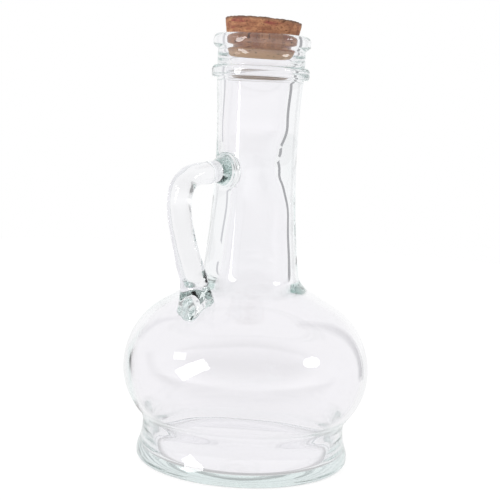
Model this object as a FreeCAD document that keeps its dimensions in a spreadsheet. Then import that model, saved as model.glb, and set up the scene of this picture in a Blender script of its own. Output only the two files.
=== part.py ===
import FreeCAD, Part

import math
import os

import Sketcher

# A stoppered kitchen oil bottle of blown recycled glass: a squat bulb on a flared foot, a long
# neck with a ring and a lip, a loop handle welded to neck and shoulder, and a tapered cork.
# Millimetres. The origin is the middle of the base, +Z runs up the neck, the handle is on -X.

Vector = FreeCAD.Vector

# Driving dimensions. Radii and reaches are from the bottle's axis, heights are above the table, and
# what belongs to the mouth is measured down from the top of the glass.
SIZES = {
    # Outside of the glass, from the base to the lip.
    "punt_depth": 8.5,
    "rest_ring_inner": 43.0,
    "heel_round": 5.5,
    "foot_radius": 54.5,
    "foot_round": 9.0,
    "waist_radius": 51.8,
    "waist_height": 18.0,
    "bulb_radius": 63.0,
    "bulb_height": 47.5,
    "bulb_lower_round": 34.0,
    "bulb_upper_round": 38.0,
    "shoulder_slope": 31.0,
    "shoulder_fillet": 12.0,
    "neck_radius": 20.4,
    "throat_height": 158.0,
    "neck_sweep": 460.0,
    "collar_radius": 21.9,
    "glass_height": 216.5,
    "ring_radius": 24.5,
    "ring_drop": 18.6,
    "ring_round": 3.1,
    "finish_radius": 22.0,
    "lip_drop": 9.0,
    "lip_radius": 24.4,
    "lip_band": 5.5,
    "lip_round": 2.0,
    # Inside of the glass.
    "floor_wall": 4.5,
    "floor_sweep": 110.0,
    "corner_round": 4.0,
    "waist_wall": 4.0,
    "bulb_wall": 2.8,
    "root_round": 16.0,
    "bore_flare": 5.7,
    "throat_radius": 12.5,
    "throat_sweep": 60.0,
    "throat_round": 16.0,
    "bore_drop": 8.5,
    "mouth_radius": 18.3,
    "mouth_round": 1.5,
    # Handle: its path, then the thickness in the plane of the loop and the width across it.
    "handle_top_height": 148.6,
    "handle_drop": 1.6,
    "handle_bend": 11.3,
    "handle_reach": 49.0,
    "leg_bow": 55.0,
    "leg_lean": 18.5,
    "weld_sink": 5.0,
    "weld_rim": 2.2,
    "weld_blend": 6.5,
    "pad_tall": 18.6,
    "pad_wide": 18.8,
    "stem_thick": 11.0,
    "stem_wide": 12.6,
    "leg_thick": 10.8,
    "leg_wide": 13.2,
    "ankle_thick": 13.6,
    "ankle_wide": 15.6,
    "foot_long": 19.4,
    "foot_wide": 19.6,
    "foot_tail": 3.0,
    "toe_long": 7.6,
    "toe_wide": 8.6,
    "toe_tall": 7.0,
    "toe_inset": 1.8,
    # Cork: how far it reaches below and above the mouth's edge, and how it sits there.
    "cork_depth": 13.1,
    "cork_proud": 8.8,
    "cork_taper": 9.9,
    "cork_lean": 3.1,
    "cork_gap": 0.3,
    "cork_edge": 0.7,
}

doc = FreeCAD.newDocument("oil_bottle")
sheet = doc.addObject("Spreadsheet::Sheet", "Sizes")
for row, (size_name, size_value) in enumerate(SIZES.items(), start=1):
    sheet.set(f"A{row}", size_name)
    sheet.set(f"B{row}", str(size_value))
    sheet.setAlias(f"B{row}", size_name)
doc.recompute()


def cell(name):
    """The number that a cell of the sheet holds."""
    return float(sheet.get(name))


def origin_plane(body, role):
    """One of a body's own origin planes."""
    return next(item for item in body.Origin.OriginFeatures if item.Role == role)


def sketch_on(body, role, name):
    """An empty sketch on one of a body's origin planes."""
    sketch = body.newObject("Sketcher::SketchObject", name)
    sketch.AttachmentSupport = [(origin_plane(body, role), "")]
    sketch.MapMode = "FlatFace"
    return sketch


def measure(sketch, kind, *where, to):
    """Adds one dimension to a sketch and binds it to an expression over the sheet."""
    value = float(sketch.evalExpression(to))
    if kind == "Angle":
        value = math.radians(value)
    index = sketch.addConstraint(Sketcher.Constraint(kind, *where, value))
    sketch.setExpression(f"Constraints[{index}]", to)


class Outline:
    """Half a turned section in a body's XZ plane: lines and arcs end to end, from axis to axis.

    Points are (radius, height). The points given to line and arc only start the solver: corners
    and radii are then held by place, upright, level and measure. An end is "first" or "last" in
    the order of drawing, or "centre".
    """

    def __init__(self, body, name):
        self.sketch = sketch_on(body, "XZ_Plane", name)
        self.turns = {}

    def line(self, first, last):
        edge = self.sketch.addGeometry(Part.LineSegment(Vector(*first), Vector(*last)))
        self.turns[edge] = {"first": 1, "last": 2}
        return edge

    def arc(self, centre, first, last, hollow=False):
        """An arc drawn counter-clockwise, or clockwise where the outline is hollow."""
        start, end = (last, first) if hollow else (first, last)
        angles = [math.atan2(p[1] - centre[1], p[0] - centre[0]) for p in (start, end)]
        circle = Part.Circle(Vector(*centre), Vector(0, 0, 1), math.dist(centre, first))
        edge = self.sketch.addGeometry(Part.ArcOfCircle(circle, *angles))
        ends = {"first": 2, "last": 1} if hollow else {"first": 1, "last": 2}
        self.turns[edge] = {**ends, "centre": 3}
        return edge

    def at(self, edge, end):
        return edge, self.turns[edge][end]

    def chain(self, edges, smooth=()):
        """Joins edges end to end into a loop, tangent after each edge listed as smooth."""
        for edge, following in zip(edges, edges[1:] + edges[:1]):
            kind = "Tangent" if edge in smooth else "Coincident"
            ends = *self.at(edge, "last"), *self.at(following, "first")
            self.sketch.addConstraint(Sketcher.Constraint(kind, *ends))

    def place(self, edge, end, radius=None, height=None):
        """Holds a point's radius, its height, or both, from the sketch's origin, which is -1, 1."""
        for kind, value in (("DistanceX", radius), ("DistanceY", height)):
            if value is not None:
                measure(self.sketch, kind, -1, 1, *self.at(edge, end), to=value)

    def on_axis(self, edge, end):
        self.place(edge, end, radius="0")

    def upright(self, edge, end):
        """Makes an arc run straight up at one of its ends."""
        where = *self.at(edge, "centre"), *self.at(edge, end)
        self.sketch.addConstraint(Sketcher.Constraint("Horizontal", *where))

    def level(self, edge, end):
        """Makes an arc run level at one of its ends."""
        where = *self.at(edge, "centre"), *self.at(edge, end)
        self.sketch.addConstraint(Sketcher.Constraint("Vertical", *where))

    def run(self, edge, direction):
        """Makes a line Horizontal or Vertical."""
        self.sketch.addConstraint(Sketcher.Constraint(direction, edge))

    def radius(self, edge, to):
        measure(self.sketch, "Radius", edge, to=to)

    def revolve(self, body, name):
        doc.recompute()
        turned = body.newObject("PartDesign::Revolution", name)
        turned.Profile = self.sketch
        turned.ReferenceAxis = (self.sketch, ["V_Axis"])
        turned.Angle = 360.0
        doc.recompute()
        return turned


def touch(centre, radius, other, other_radius):
    """The point where two round arcs touch, outside to outside."""
    share = radius / (radius + other_radius)
    return tuple(a + (b - a) * share for a, b in zip(centre, other))


def polar(centre, radius, degrees):
    """The point on a circle at an angle from level."""
    turn = math.radians(degrees)
    return centre[0] + radius * math.cos(turn), centre[1] + radius * math.sin(turn)


def hollow_arc(centre, radius, point):
    """Centre and touching point of the hollow arc from a round one to an upright point."""
    across, up = point[0] - centre[0], point[1] - centre[1]
    hollow = (across**2 + up**2 - radius**2) / (2 * (radius - across))
    middle = (point[0] + hollow, point[1])
    return middle, touch(centre, radius, middle, hollow)


def glass_outside():
    """The bottle's outer form as one solid, which the cavity and the handle are cut with."""
    body = doc.addObject("PartDesign::Body", "glass_form")
    out = Outline(body, "glass_outline")
    top = cell("glass_height")
    foot = (cell("foot_radius"), cell("heel_round"))
    waist = (cell("waist_radius"), cell("waist_height"))
    belly = (cell("bulb_radius"), cell("bulb_height"))
    rest_inner = (cell("rest_ring_inner"), 0.0)
    rest_outer = (foot[0] - cell("heel_round"), 0.0)
    punt_top = (0.0, cell("punt_depth"))
    punt_radius = (rest_inner[0] ** 2 + punt_top[1] ** 2) / (2 * punt_top[1])

    foot_centre = (foot[0] - cell("foot_round"), foot[1])
    low_centre = (belly[0] - cell("bulb_lower_round"), belly[1])
    high_centre = (belly[0] - cell("bulb_upper_round"), belly[1])
    waist_low, foot_touch = hollow_arc(foot_centre, cell("foot_round"), waist)
    waist_high, belly_touch = hollow_arc(low_centre, cell("bulb_lower_round"), waist)

    slope = cell("shoulder_slope")
    shoulder_low = polar(high_centre, cell("bulb_upper_round"), 90 - slope)
    throat = (cell("neck_radius"), cell("throat_height"))
    neck_centre = (throat[0] + cell("neck_sweep"), throat[1])
    fillet = cell("shoulder_fillet")
    root_radius = cell("neck_radius") + fillet / 3
    run_out = (shoulder_low[0] - root_radius - fillet / 2) * math.tan(math.radians(slope))
    shoulder_high = (root_radius + fillet / 2, shoulder_low[1] + run_out)
    fillet_centre = polar(shoulder_high, fillet, 90 - slope)
    root = polar(fillet_centre, fillet, 180)

    ring_centre = (cell("ring_radius") - cell("ring_round"), top - cell("ring_drop"))
    ring_low = (cell("collar_radius"), ring_centre[1] - cell("ring_round"))
    ring_high = (cell("finish_radius"), ring_centre[1] + cell("ring_round"))
    collar_rise, collar_spread = ring_low[1] - throat[1], ring_low[0] - throat[0]
    collar_sweep = (collar_rise**2 + collar_spread**2) / (2 * collar_spread)
    lip_centre = (cell("lip_radius") - cell("lip_round"), top - cell("lip_round"))
    finish = (cell("finish_radius"), top - cell("lip_drop"))
    lip_low = (cell("lip_radius"), top - cell("lip_band"))
    lip_side = (cell("lip_radius"), lip_centre[1])
    lip_top = (lip_centre[0], top)

    punt = out.arc((0.0, punt_top[1] - punt_radius), punt_top, rest_inner, hollow=True)
    rest = out.line(rest_inner, rest_outer)
    heel = out.arc((rest_outer[0], foot[1]), rest_outer, foot)
    foot_side = out.arc(foot_centre, foot, foot_touch)
    waist_under = out.arc(waist_low, foot_touch, waist, hollow=True)
    waist_over = out.arc(waist_high, waist, belly_touch, hollow=True)
    bulb_under = out.arc(low_centre, belly_touch, belly)
    bulb_over = out.arc(high_centre, belly, shoulder_low)
    shoulder = out.line(shoulder_low, shoulder_high)
    root_fillet = out.arc(fillet_centre, shoulder_high, root, hollow=True)
    neck = out.arc(neck_centre, root, throat, hollow=True)
    collar = out.arc((throat[0] + collar_sweep, throat[1]), throat, ring_low, hollow=True)
    ring = out.arc(ring_centre, ring_low, ring_high)
    finish_wall = out.line(ring_high, finish)
    lip_under = out.line(finish, lip_low)
    lip_band = out.line(lip_low, lip_side)
    lip_edge = out.arc(lip_centre, lip_side, lip_top)
    lip_face = out.line(lip_top, (0.0, top))
    axis = out.line((0.0, top), punt_top)

    edges = [punt, rest, heel, foot_side, waist_under, waist_over, bulb_under, bulb_over, shoulder,
             root_fillet, neck, collar, ring, finish_wall, lip_under, lip_band, lip_edge, lip_face,
             axis]
    out.chain(edges, smooth=(foot_side, waist_over, bulb_over, shoulder, root_fillet))

    out.on_axis(punt, "first")
    out.on_axis(punt, "centre")
    out.place(punt, "first", height="Sizes.punt_depth")
    out.place(punt, "last", radius="Sizes.rest_ring_inner", height="0")
    out.run(rest, "Horizontal")
    out.level(heel, "first")
    out.upright(heel, "last")
    out.radius(heel, "Sizes.heel_round")
    out.place(heel, "last", radius="Sizes.foot_radius")
    out.upright(foot_side, "first")
    out.radius(foot_side, "Sizes.foot_round")
    out.upright(waist_under, "last")
    out.place(waist_under, "last", radius="Sizes.waist_radius", height="Sizes.waist_height")
    out.upright(waist_over, "first")
    out.upright(bulb_under, "last")
    out.radius(bulb_under, "Sizes.bulb_lower_round")
    out.place(bulb_under, "last", radius="Sizes.bulb_radius", height="Sizes.bulb_height")
    out.upright(bulb_over, "first")
    out.radius(bulb_over, "Sizes.bulb_upper_round")
    measure(out.sketch, "Angle", shoulder, to="180 - Sizes.shoulder_slope")
    out.radius(root_fillet, "Sizes.shoulder_fillet")
    out.place(neck, "centre", "Sizes.neck_radius + Sizes.neck_sweep", "Sizes.throat_height")
    out.radius(neck, "Sizes.neck_sweep")
    out.upright(neck, "last")
    out.upright(collar, "first")
    out.place(collar, "last", radius="Sizes.collar_radius")
    out.place(ring, "centre", "Sizes.ring_radius - Sizes.ring_round",
              "Sizes.glass_height - Sizes.ring_drop")
    out.radius(ring, "Sizes.ring_round")
    out.run(finish_wall, "Vertical")
    out.place(finish_wall, "last", "Sizes.finish_radius", "Sizes.glass_height - Sizes.lip_drop")
    out.place(lip_under, "last", "Sizes.lip_radius", "Sizes.glass_height - Sizes.lip_band")
    out.run(lip_band, "Vertical")
    out.upright(lip_edge, "first")
    out.level(lip_edge, "last")
    out.radius(lip_edge, "Sizes.lip_round")
    out.run(lip_face, "Horizontal")
    out.place(lip_face, "last", height="Sizes.glass_height")
    out.on_axis(lip_face, "last")
    out.revolve(body, "glass_turn")
    return body


def glass_inside():
    """The cavity as one solid: a round floor, the bulb, the throat and the mouth."""
    body = doc.addObject("PartDesign::Body", "cavity")
    inner = Outline(body, "cavity_outline")
    top = cell("glass_height")
    wall = cell("bulb_wall")
    waist = (cell("waist_radius") - cell("waist_wall"), cell("waist_height"))
    belly = (cell("bulb_radius") - wall, cell("bulb_height"))
    throat = (cell("throat_radius"), cell("throat_height"))
    bore = (cell("mouth_radius"), top - cell("bore_drop"))
    mouth_round = cell("mouth_round")
    overrun = 2 * mouth_round

    floor_top = (0.0, cell("punt_depth") + cell("floor_wall"))
    floor_centre = (0.0, floor_top[1] - cell("floor_sweep"))
    corner = cell("corner_round")
    corner_across = waist[0] - corner
    corner_reach = cell("floor_sweep") + corner
    corner_centre = (corner_across, floor_centre[1] + math.sqrt(corner_reach**2 - corner_across**2))
    corner_low = touch(floor_centre, cell("floor_sweep"), corner_centre, corner)
    corner_high = (waist[0], corner_centre[1])

    low_radius = cell("bulb_lower_round") - wall
    high_radius = cell("bulb_upper_round") - wall
    low_centre = (belly[0] - low_radius, belly[1])
    high_centre = (belly[0] - high_radius, belly[1])
    waist_centre, belly_touch = hollow_arc(low_centre, low_radius, waist)

    slope = cell("shoulder_slope")
    flare = cell("bore_flare")
    root = cell("root_round")
    shoulder_low = polar(high_centre, high_radius, 90 - slope)
    throat_centre = (throat[0] + cell("throat_sweep"), throat[1])
    flare_top = polar(throat_centre, cell("throat_sweep"), 180 + flare)
    shoulder_high = (flare_top[0] + root / 2, shoulder_low[1] + root)
    root_centre = polar(shoulder_high, root, 90 - slope)
    flare_low = polar(root_centre, root, 180 + flare)

    throat_round = cell("throat_round")
    rise, spread_out = bore[1] - throat[1], bore[0] - throat[0]
    bore_round = (rise**2 + spread_out**2) / (2 * spread_out) - throat_round
    bore_centre = (bore[0] - bore_round, bore[1])
    over_centre = (throat[0] + throat_round, throat[1])
    bore_touch = touch(bore_centre, bore_round, over_centre, throat_round)
    mouth_low = (bore[0], top - mouth_round)
    mouth_top = (bore[0] + mouth_round, top)
    mouth_out = (mouth_top[0], top + overrun)

    floor = inner.arc(floor_centre, floor_top, corner_low, hollow=True)
    floor_corner = inner.arc(corner_centre, corner_low, corner_high)
    foot_wall = inner.line(corner_high, waist)
    waist_over = inner.arc(waist_centre, waist, belly_touch, hollow=True)
    bulb_under = inner.arc(low_centre, belly_touch, belly)
    bulb_over = inner.arc(high_centre, belly, shoulder_low)
    shoulder = inner.line(shoulder_low, shoulder_high)
    neck_root = inner.arc(root_centre, shoulder_high, flare_low, hollow=True)
    neck_bore = inner.line(flare_low, flare_top)
    throat_under = inner.arc(throat_centre, flare_top, throat, hollow=True)
    throat_over = inner.arc(over_centre, throat, bore_touch, hollow=True)
    bore_shoulder = inner.arc(bore_centre, bore_touch, bore)
    bore_wall = inner.line(bore, mouth_low)
    mouth_edge = inner.arc((mouth_top[0], mouth_low[1]), mouth_low, mouth_top, hollow=True)
    mouth_way = inner.line(mouth_top, mouth_out)
    mouth_face = inner.line(mouth_out, (0.0, mouth_out[1]))
    axis = inner.line((0.0, mouth_out[1]), floor_top)

    edges = [floor, floor_corner, foot_wall, waist_over, bulb_under, bulb_over, shoulder, neck_root,
             neck_bore, throat_under, throat_over, bore_shoulder, bore_wall, mouth_edge, mouth_way,
             mouth_face, axis]
    inner.chain(edges, smooth=(floor, waist_over, bulb_over, shoulder, neck_root, neck_bore,
                               throat_over))

    inner.on_axis(floor, "first")
    inner.on_axis(floor, "centre")
    inner.place(floor, "first", height="Sizes.punt_depth + Sizes.floor_wall")
    inner.radius(floor, "Sizes.floor_sweep")
    inner.upright(floor_corner, "last")
    inner.radius(floor_corner, "Sizes.corner_round")
    inner.run(foot_wall, "Vertical")
    inner.place(foot_wall, "last", "Sizes.waist_radius - Sizes.waist_wall", "Sizes.waist_height")
    inner.upright(waist_over, "first")
    inner.upright(bulb_under, "last")
    inner.radius(bulb_under, "Sizes.bulb_lower_round - Sizes.bulb_wall")
    inner.place(bulb_under, "last", "Sizes.bulb_radius - Sizes.bulb_wall", "Sizes.bulb_height")
    inner.upright(bulb_over, "first")
    inner.radius(bulb_over, "Sizes.bulb_upper_round - Sizes.bulb_wall")
    measure(inner.sketch, "Angle", shoulder, to="180 - Sizes.shoulder_slope")
    inner.radius(neck_root, "Sizes.root_round")
    measure(inner.sketch, "Angle", neck_bore, to="90 + Sizes.bore_flare")
    inner.radius(throat_under, "Sizes.throat_sweep")
    inner.upright(throat_under, "last")
    inner.place(throat_under, "last", "Sizes.throat_radius", "Sizes.throat_height")
    inner.upright(throat_over, "first")
    inner.radius(throat_over, "Sizes.throat_round")
    inner.upright(bore_shoulder, "last")
    inner.place(bore_shoulder, "last", "Sizes.mouth_radius", "Sizes.glass_height - Sizes.bore_drop")
    inner.run(bore_wall, "Vertical")
    inner.upright(mouth_edge, "first")
    inner.level(mouth_edge, "last")
    inner.radius(mouth_edge, "Sizes.mouth_round")
    inner.place(mouth_edge, "last", height="Sizes.glass_height")
    inner.run(mouth_way, "Vertical")
    inner.place(mouth_way, "last", height="Sizes.glass_height + 2 * Sizes.mouth_round")
    inner.run(mouth_face, "Horizontal")
    inner.on_axis(mouth_face, "last")
    inner.revolve(body, "cavity_turn")
    return body


def handle_section(body, name, reach, height, turn, thick, wide):
    """An oval across the handle's path: upright at the neck, and turned down by some degrees."""
    sketch = sketch_on(body, "YZ_Plane", name)
    sketch.AttachmentOffset = FreeCAD.Placement(Vector(), FreeCAD.Rotation(Vector(1, 0, 0), 1))
    sketch.setExpression("AttachmentOffset.Base.y", height)
    sketch.setExpression("AttachmentOffset.Base.z", f"-({reach})")
    sketch.setExpression("AttachmentOffset.Rotation.Angle", f"-({turn})")
    half_wide = float(sketch.evalExpression(wide)) / 2
    half_thick = float(sketch.evalExpression(thick)) / 2
    oval = sketch.addGeometry(Part.Ellipse(Vector(), half_wide, half_thick))
    sketch.exposeInternalGeometry(oval)
    long_axis, short_axis = oval + 1, oval + 2
    sketch.addConstraint(Sketcher.Constraint("Coincident", oval, 3, -1, 1))
    sketch.addConstraint(Sketcher.Constraint("Horizontal", long_axis))
    measure(sketch, "Distance", long_axis, to=wide)
    measure(sketch, "Distance", short_axis, to=thick)
    return sketch


def middle(oval, other):
    """The oval half-way between two ovals."""
    return tuple(f"({size} + {other_size}) / 2" for size, other_size in zip(oval, other))


def spread(full, slim):
    """The oval of a weld's rounded rim, three quarters of the way out to its full spread."""
    return middle(full, middle(full, slim))


def between(first, last, share):
    """Expression for the value that lies a share of the way from one value to another."""
    return f"({first}) + {share} * (({last}) - ({first}))"


def handle_rod():
    """The handle as drawn: a thick glass rod from inside the neck to inside the shoulder."""
    body = doc.addObject("PartDesign::Body", "handle_rod")
    neck = "Sizes.neck_radius"
    top = "Sizes.handle_top_height"
    bend = "Sizes.handle_bend"
    bend_reach = f"(Sizes.handle_reach - {bend})"
    bend_height = f"({top} - Sizes.handle_drop - {bend})"
    bow = "Sizes.leg_bow"
    bow_reach = f"(Sizes.handle_reach - {bow})"
    lean = "Sizes.leg_lean"
    slope = "Sizes.shoulder_slope"
    sink = "Sizes.weld_sink"
    rim = "Sizes.weld_rim"
    blend = "Sizes.weld_blend"

    # The leg runs straight on from its bow and lands where it meets the shoulder's cone.
    leg_reach = f"({bow_reach} + {bow} * cos({lean}))"
    leg_height = f"({bend_height} - {bow} * sin({lean}))"
    cone_reach = f"(Sizes.bulb_radius - Sizes.bulb_upper_round * (1 - sin({slope})))"
    cone_height = f"(Sizes.bulb_height + Sizes.bulb_upper_round * cos({slope}))"
    fall = f"({leg_height} - {cone_height} - {cone_reach} * tan({slope}))"
    land_reach = f"(({leg_reach} - {fall} * tan({lean})) / (1 + tan({slope}) * tan({lean})))"
    land_height = f"({cone_height} + ({cone_reach} - {land_reach}) * tan({slope}))"

    pad = ("Sizes.pad_tall", "Sizes.pad_wide")
    stem = ("Sizes.stem_thick", "Sizes.stem_wide")
    leg = ("Sizes.leg_thick", "Sizes.leg_wide")
    ankle = ("Sizes.ankle_thick", "Sizes.ankle_wide")
    foot = ("Sizes.foot_long", "Sizes.foot_wide")
    sections = []

    def section(name, reach, height, turn, oval):
        sections.append(handle_section(body, name, reach, height, turn, *oval))

    # Weld on the neck: a pad with a rounded rim that draws in to the stem.
    for name, out, oval in (("pad_root", f"-{sink}", pad), ("pad", "0", pad),
                            ("pad_rim", rim, spread(pad, stem)), ("stem", blend, stem)):
        section(name, f"{neck} + {out}", top, "0", oval)
    bend_turns = (6, 34, 62, 90)
    section("stem_middle", between(f"{neck} + {blend}", bend_reach, 0.5),
            f"{top} - Sizes.handle_drop / 2", str(bend_turns[0]), stem)

    # Top bend, then the slighter bow that leans the leg in.
    for turn in bend_turns:
        section(f"bend_{turn}", f"{bend_reach} + {bend} * sin({turn})",
                f"{bend_height} + {bend} * cos({turn})", str(turn), leg)
    for name, share in (("bow_middle", 0.5), ("bow_end", 1.0)):
        section(name, f"{bow_reach} + {bow} * cos({share} * {lean})",
                f"{bend_height} - {bow} * sin({share} * {lean})", f"90 + {share} * {lean}", leg)

    # Straight leg, thickening to the ankle, and the foot that spreads outwards on the shoulder.
    ankle_reach = f"({land_reach} + {blend} * tan({lean}))"
    ankle_height = f"({land_height} + {blend})"
    section("calf", between(leg_reach, ankle_reach, 0.5), between(leg_height, ankle_height, 0.5),
            f"90 + {lean}", middle(leg, ankle))
    section("ankle", ankle_reach, ankle_height, f"90 + {lean}", ankle)
    tail = f"{land_reach} + Sizes.foot_tail"
    tail_height = f"{land_height} - Sizes.foot_tail * tan({slope})"
    for name, up, oval in (("foot_rim", rim, spread(foot, ankle)), ("foot", "0", foot),
                           ("foot_root", f"-{sink}", foot)):
        section(name, tail, f"{tail_height} + {up}", f"90 + {slope}", oval)
    doc.recompute()

    rod = body.newObject("PartDesign::AdditiveLoft", "rod")
    rod.Profile = sections[0]
    rod.Sections = sections[1:]
    doc.recompute()

    # Toes squeezed out by the pincers along both edges of the foot, round its oval.
    for side, hand in (("near", -1), ("far", 1)):
        for turn in (45, 90, 135):
            along = f"(Sizes.foot_long / 2 - Sizes.toe_inset) * cos({turn})"
            toe(body, f"toe_{side}_{turn}", slope, f"{tail} + {along} * cos({slope})",
                f"{hand} * (Sizes.foot_wide / 2 - Sizes.toe_inset) * sin({turn})",
                f"{tail_height} - {along} * sin({slope})")
    return body


def toe(body, name, slope, reach, across, height):
    """One squeezed lobe at the edge of the handle's foot, lying along the slope."""
    lobe = body.newObject("PartDesign::AdditiveEllipsoid", name)
    lobe.setExpression("Radius1", "Sizes.toe_tall / 2")
    lobe.setExpression("Radius2", "Sizes.toe_long / 2")
    lobe.setExpression("Radius3", "Sizes.toe_wide / 2")
    lobe.Placement = FreeCAD.Placement(Vector(), FreeCAD.Rotation(Vector(0, 1, 0), -1))
    lobe.setExpression("Placement.Rotation.Angle", slope)
    lobe.setExpression("Placement.Base.x", f"-({reach})")
    lobe.setExpression("Placement.Base.y", across)
    lobe.setExpression("Placement.Base.z", height)
    doc.recompute()


def cork():
    """A tapered stopper, wedged a little askew in the rounded edge of the mouth."""
    body = doc.addObject("PartDesign::Body", "cork_stopper")
    body.Label = "cork_stopper"
    taper = "Sizes.cork_taper"
    edge_gap = f"(Sizes.mouth_round + Sizes.cork_gap) / cos({taper})"
    seat = f"Sizes.mouth_radius + Sizes.mouth_round - {edge_gap}"
    low = f"{seat} - Sizes.cork_depth * tan({taper})"
    high = f"{seat} + Sizes.cork_proud * tan({taper})"
    length = "Sizes.cork_depth + Sizes.cork_proud"

    half = Outline(body, "cork_outline")
    low_radius = float(half.sketch.evalExpression(low))
    high_radius = float(half.sketch.evalExpression(high))
    tall = float(half.sketch.evalExpression(length))
    corners = [(0.0, 0.0), (low_radius, 0.0), (high_radius, tall), (0.0, tall)]
    edges = [half.line(a, b) for a, b in zip(corners, corners[1:] + corners[:1])]
    under, side, over, _ = edges
    half.chain(edges)
    half.on_axis(under, "first")
    half.place(under, "first", height="0")
    half.run(under, "Horizontal")
    half.place(under, "last", radius=low)
    half.place(side, "last", high, length)
    half.run(over, "Horizontal")
    half.on_axis(over, "last")
    turned = half.revolve(body, "cork_turn")

    rims = [f"Edge{number}" for number, edge in enumerate(turned.Shape.Edges, start=1)
            if isinstance(edge.Curve, Part.Circle)]
    rounded = body.newObject("PartDesign::Fillet", "cork_rims")
    rounded.Base = (turned, rims)
    rounded.setExpression("Radius", "Sizes.cork_edge")

    lean = "Sizes.cork_lean"
    body.Placement = FreeCAD.Placement(Vector(), FreeCAD.Rotation(Vector(0, 1, 0), 1))
    body.setExpression("Placement.Rotation.Angle", lean)
    # Leaning, the cone stands further out on one side of the mouth: half of that is taken back.
    body.setExpression("Placement.Base.x",
                       f"-(Sizes.cork_depth + ({seat}) * tan({taper})) * sin({lean})")
    seat_height = "Sizes.glass_height - Sizes.mouth_round"
    body.setExpression("Placement.Base.z", f"{seat_height} - Sizes.cork_depth * cos({lean})")
    doc.recompute()
    return body


def cut(name, base, tool):
    """A sub-part made by cutting one solid with another."""
    result = doc.addObject("Part::Cut", name)
    result.Label = name
    result.Base = base
    result.Tool = tool
    doc.recompute()
    return result


glass_form = glass_outside()
cavity = glass_inside()
sub_parts = [
    cut("bottle_body", glass_form, cavity),
    cut("handle", handle_rod(), glass_form),
    cork(),
]

for item in doc.Objects:
    if "Invalid" in item.State or "Error" in item.State:
        raise RuntimeError(f"{item.Name} did not rebuild: {item.State}")
for item in sub_parts:
    if item.Shape.isNull() or not item.Shape.isValid():
        raise RuntimeError(f"{item.Label} has no valid shape")

os.makedirs("parts", exist_ok=True)
for item in sub_parts:
    item.Shape.exportStep(f"parts/{item.Label}.step")
    print(f"{item.Label}: {len(item.Shape.Solids)} solid, {item.Shape.Volume / 1000:.2f} ml")
print(f"cavity, brim full: {cavity.Shape.Volume / 1000:.0f} ml")
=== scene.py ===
import math

import bpy
import numpy as np
from mathutils import Matrix, Vector, noise

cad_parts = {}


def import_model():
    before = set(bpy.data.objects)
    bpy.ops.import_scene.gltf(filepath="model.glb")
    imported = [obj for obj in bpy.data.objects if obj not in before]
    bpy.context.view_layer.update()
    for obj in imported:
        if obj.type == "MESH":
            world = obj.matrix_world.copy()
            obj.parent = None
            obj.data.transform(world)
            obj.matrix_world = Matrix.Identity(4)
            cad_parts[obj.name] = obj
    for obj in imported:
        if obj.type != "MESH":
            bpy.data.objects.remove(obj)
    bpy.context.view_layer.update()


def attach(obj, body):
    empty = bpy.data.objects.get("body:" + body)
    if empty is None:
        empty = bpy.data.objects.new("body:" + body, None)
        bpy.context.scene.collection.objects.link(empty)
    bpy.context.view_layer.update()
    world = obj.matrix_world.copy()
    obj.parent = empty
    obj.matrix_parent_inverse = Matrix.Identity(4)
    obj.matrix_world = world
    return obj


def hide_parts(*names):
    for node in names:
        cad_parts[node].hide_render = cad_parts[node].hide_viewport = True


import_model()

# A kitchen oil bottle of blown recycled glass with a welded loop handle and a tapered cork.
# Sizes are in millimetres and become metres when a mesh is made. Angles are in degrees. The frame is
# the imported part's: +Z up the neck, the handle on -X, the table at zero.

MM = 0.001


# Small helpers

def linear(code):
    """An sRGB hex colour as linear red, green, blue and alpha."""
    parts = [int(code[i:i + 2], 16) / 255 for i in (1, 3, 5)]
    return [c / 12.92 if c <= 0.04045 else ((c + 0.055) / 1.055) ** 2.4 for c in parts] + [1.0]


def node(tree, kind, sockets=None, **settings):
    """Adds a node, sets its properties or sockets by name, and gives sockets a link or a value."""
    added = tree.nodes.new(kind)
    for name, value in settings.items():
        if hasattr(added, name):
            setattr(added, name, value)
        else:
            added.inputs[name.replace("_", " ")].default_value = value
    for name, source in (sockets or {}).items():
        if isinstance(source, bpy.types.NodeSocket):
            tree.links.new(source, added.inputs[name])
        else:
            added.inputs[name].default_value = source
    return added


def material(name):
    """A material with an empty node tree, and that tree."""
    made = bpy.data.materials.new(name)
    made.use_nodes = True
    made.node_tree.nodes.clear()
    return made, made.node_tree


def piece(name, vertices, faces, look):
    """A smooth-shaded mesh object at the origin, from points in millimetres and a material."""
    mesh = bpy.data.meshes.new(name)
    mesh.from_pydata((np.asarray(vertices) * MM).tolist(), [], faces)
    mesh.materials.append(look)
    mesh.shade_smooth()
    made = bpy.data.objects.new(name, mesh)
    bpy.context.scene.collection.objects.link(made)
    return made


def skin(rings):
    """Faces between rings of points, one after another. A ring of one point closes an end."""
    faces = []
    for low, high in zip(rings, rings[1:]):
        count = max(len(low), len(high))
        for i in range(count):
            j = (i + 1) % count
            if len(low) == 1:
                faces.append((low[0], high[j], high[i]))
            elif len(high) == 1:
                faces.append((low[i], low[j], high[0]))
            else:
                faces.append((low[i], low[j], high[j], high[i]))
    return faces


def settle(made):
    """Turns a piece's modifiers into plain mesh."""
    seen = made.evaluated_get(bpy.context.evaluated_depsgraph_get())
    mesh = bpy.data.meshes.new_from_object(seen)
    made.modifiers.clear()
    made.data = mesh


# Turned section of the glass
# Pairs are a radius and a height. Each ROUND and SWEEP is the radius of an arc of the section.

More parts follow.
